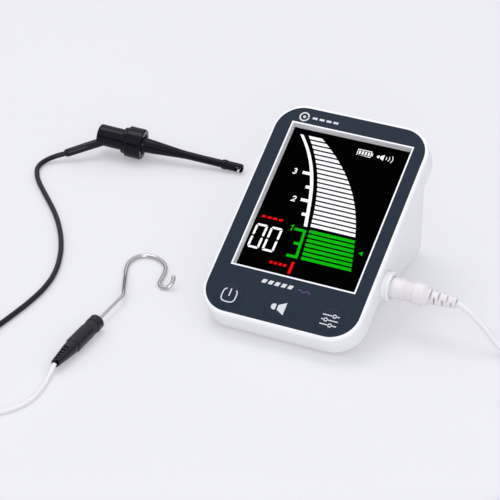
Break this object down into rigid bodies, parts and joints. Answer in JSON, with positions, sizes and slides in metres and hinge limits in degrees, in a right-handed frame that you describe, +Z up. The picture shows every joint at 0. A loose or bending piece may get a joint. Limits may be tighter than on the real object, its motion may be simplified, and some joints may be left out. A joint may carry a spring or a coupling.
{
  "type": "apex locator",
  "caption": "Desk-top dental root canal measuring unit with a tilted screen and three keys, and a plug-in lead that ends in a file clip and a lip hook.",
  "frame": {"origin": "middle of the display unit's footprint, on the surface that it stands on", "axes": "+X to the right of the face as its user sees it, towards the lead's socket; +Y to the back; +Z up"},
  "size_m": [0.3253, 0.2839, 0.0658],
  "materials": {
    "casing_white": "satin moulded white",
    "panel_slate": "matt printed dark slate overlay",
    "frame_silver": "silver painted trim",
    "lcd_black": "black display glass",
    "gasket_grey": "foam",
    "diffuser_white": "matt white",
    "ribbon_amber": "film",
    "board_green": "solder mask",
    "chip_black": "matt black",
    "steel": "plated",
    "ring_white": "satin moulded white",
    "socket_grey": "matt",
    "foot_rubber": "matt",
    "battery_blue": "shrink film",
    "wire_red": "insulation",
    "plug_metal": "polished nickel plate",
    "plug_white": "satin moulded white",
    "cord_white": "smooth jacket",
    "tie_black": "matt",
    "cord_black": "smooth jacket",
    "clip_black": "satin moulded black",
    "ring_rubber": "soft",
    "contact_gold": "gold plate",
    "hook_steel": "drawn stainless wire"
  },
  "bodies": {
    "display_unit": {"front_shell": "casing_white", "rear_shell": "casing_white", "face_panel": "panel_slate", "screen_frame": "frame_silver", "screen_gasket": "gasket_grey", "lcd_glass": "lcd_black", "backlight": "diffuser_white", "lcd_ribbon": "ribbon_amber", "main_board": "board_green", "tact_switches": "chip_black", "board_chips": "chip_black", "board_screws": "steel", "case_screws": "steel", "socket_ring": "ring_white", "lead_socket": "socket_grey", "charge_board": "board_green", "charge_socket": "steel", "speaker": "chip_black", "speaker_magnet": "steel", "battery_pack": "battery_blue", "battery_lead": "wire_red", "battery_cover": "casing_white", "battery_cover_screw": "steel", "rubber_feet": "foot_rubber"},
    "power_key": {"power_key": "panel_slate"},
    "volume_key": {"volume_key": "panel_slate"},
    "set_key": {"set_key": "panel_slate"},
    "lead_set": {"plug_pin": "plug_metal", "plug_body": "plug_white", "plug_strain_relief": "plug_white", "main_cord": "cord_white", "cord_coil": "cord_white", "cord_tie": "tie_black", "cord_splitter": "plug_white", "clip_lead": "cord_black", "clip_boot": "cord_black", "clip_plunger": "clip_black", "clip_hook": "contact_gold", "clip_spring": "steel", "hook_lead": "cord_white", "hook_lead_coil": "cord_white", "hook_lead_tie": "tie_black", "connector_body": "clip_black", "connector_ring": "ring_rubber", "connector_strain_relief": "clip_black", "contact_sleeve": "contact_gold"},
    "clip_sleeve": {"clip_barrel": "clip_black"},
    "lip_hook": {"lip_hook": "hook_steel"}
  },
  "joints": [
    {"name": "power_key_press", "type": "slide", "parent": "display_unit", "child": "power_key", "axis": [0, 0.4955, -0.8686], "range_m": [0, 0.0003], "stiffness_N_per_m": 3000},
    {"name": "volume_key_press", "type": "slide", "parent": "display_unit", "child": "volume_key", "axis": [0, 0.4955, -0.8686], "range_m": [0, 0.0003], "stiffness_N_per_m": 3000},
    {"name": "set_key_press", "type": "slide", "parent": "display_unit", "child": "set_key", "axis": [0, 0.4955, -0.8686], "range_m": [0, 0.0003], "stiffness_N_per_m": 3000},
    {"name": "lead_unplug", "type": "slide", "parent": "display_unit", "child": "lead_set", "axis": [1, 0, 0], "range_m": [0, 0.018]},
    {"name": "clip_squeeze", "type": "slide", "parent": "lead_set", "child": "clip_sleeve", "axis": [-0.9838, -0.1446, 0.1063], "range_m": [0, 0.0045], "stiffness_N_per_m": 400, "deforming": ["clip_spring"]},
    {"name": "lip_hook_pull", "type": "slide", "parent": "lead_set", "child": "lip_hook", "axis": [0.0349, 0.9994, 0], "range_m": [0, 0.012]}
  ]
}
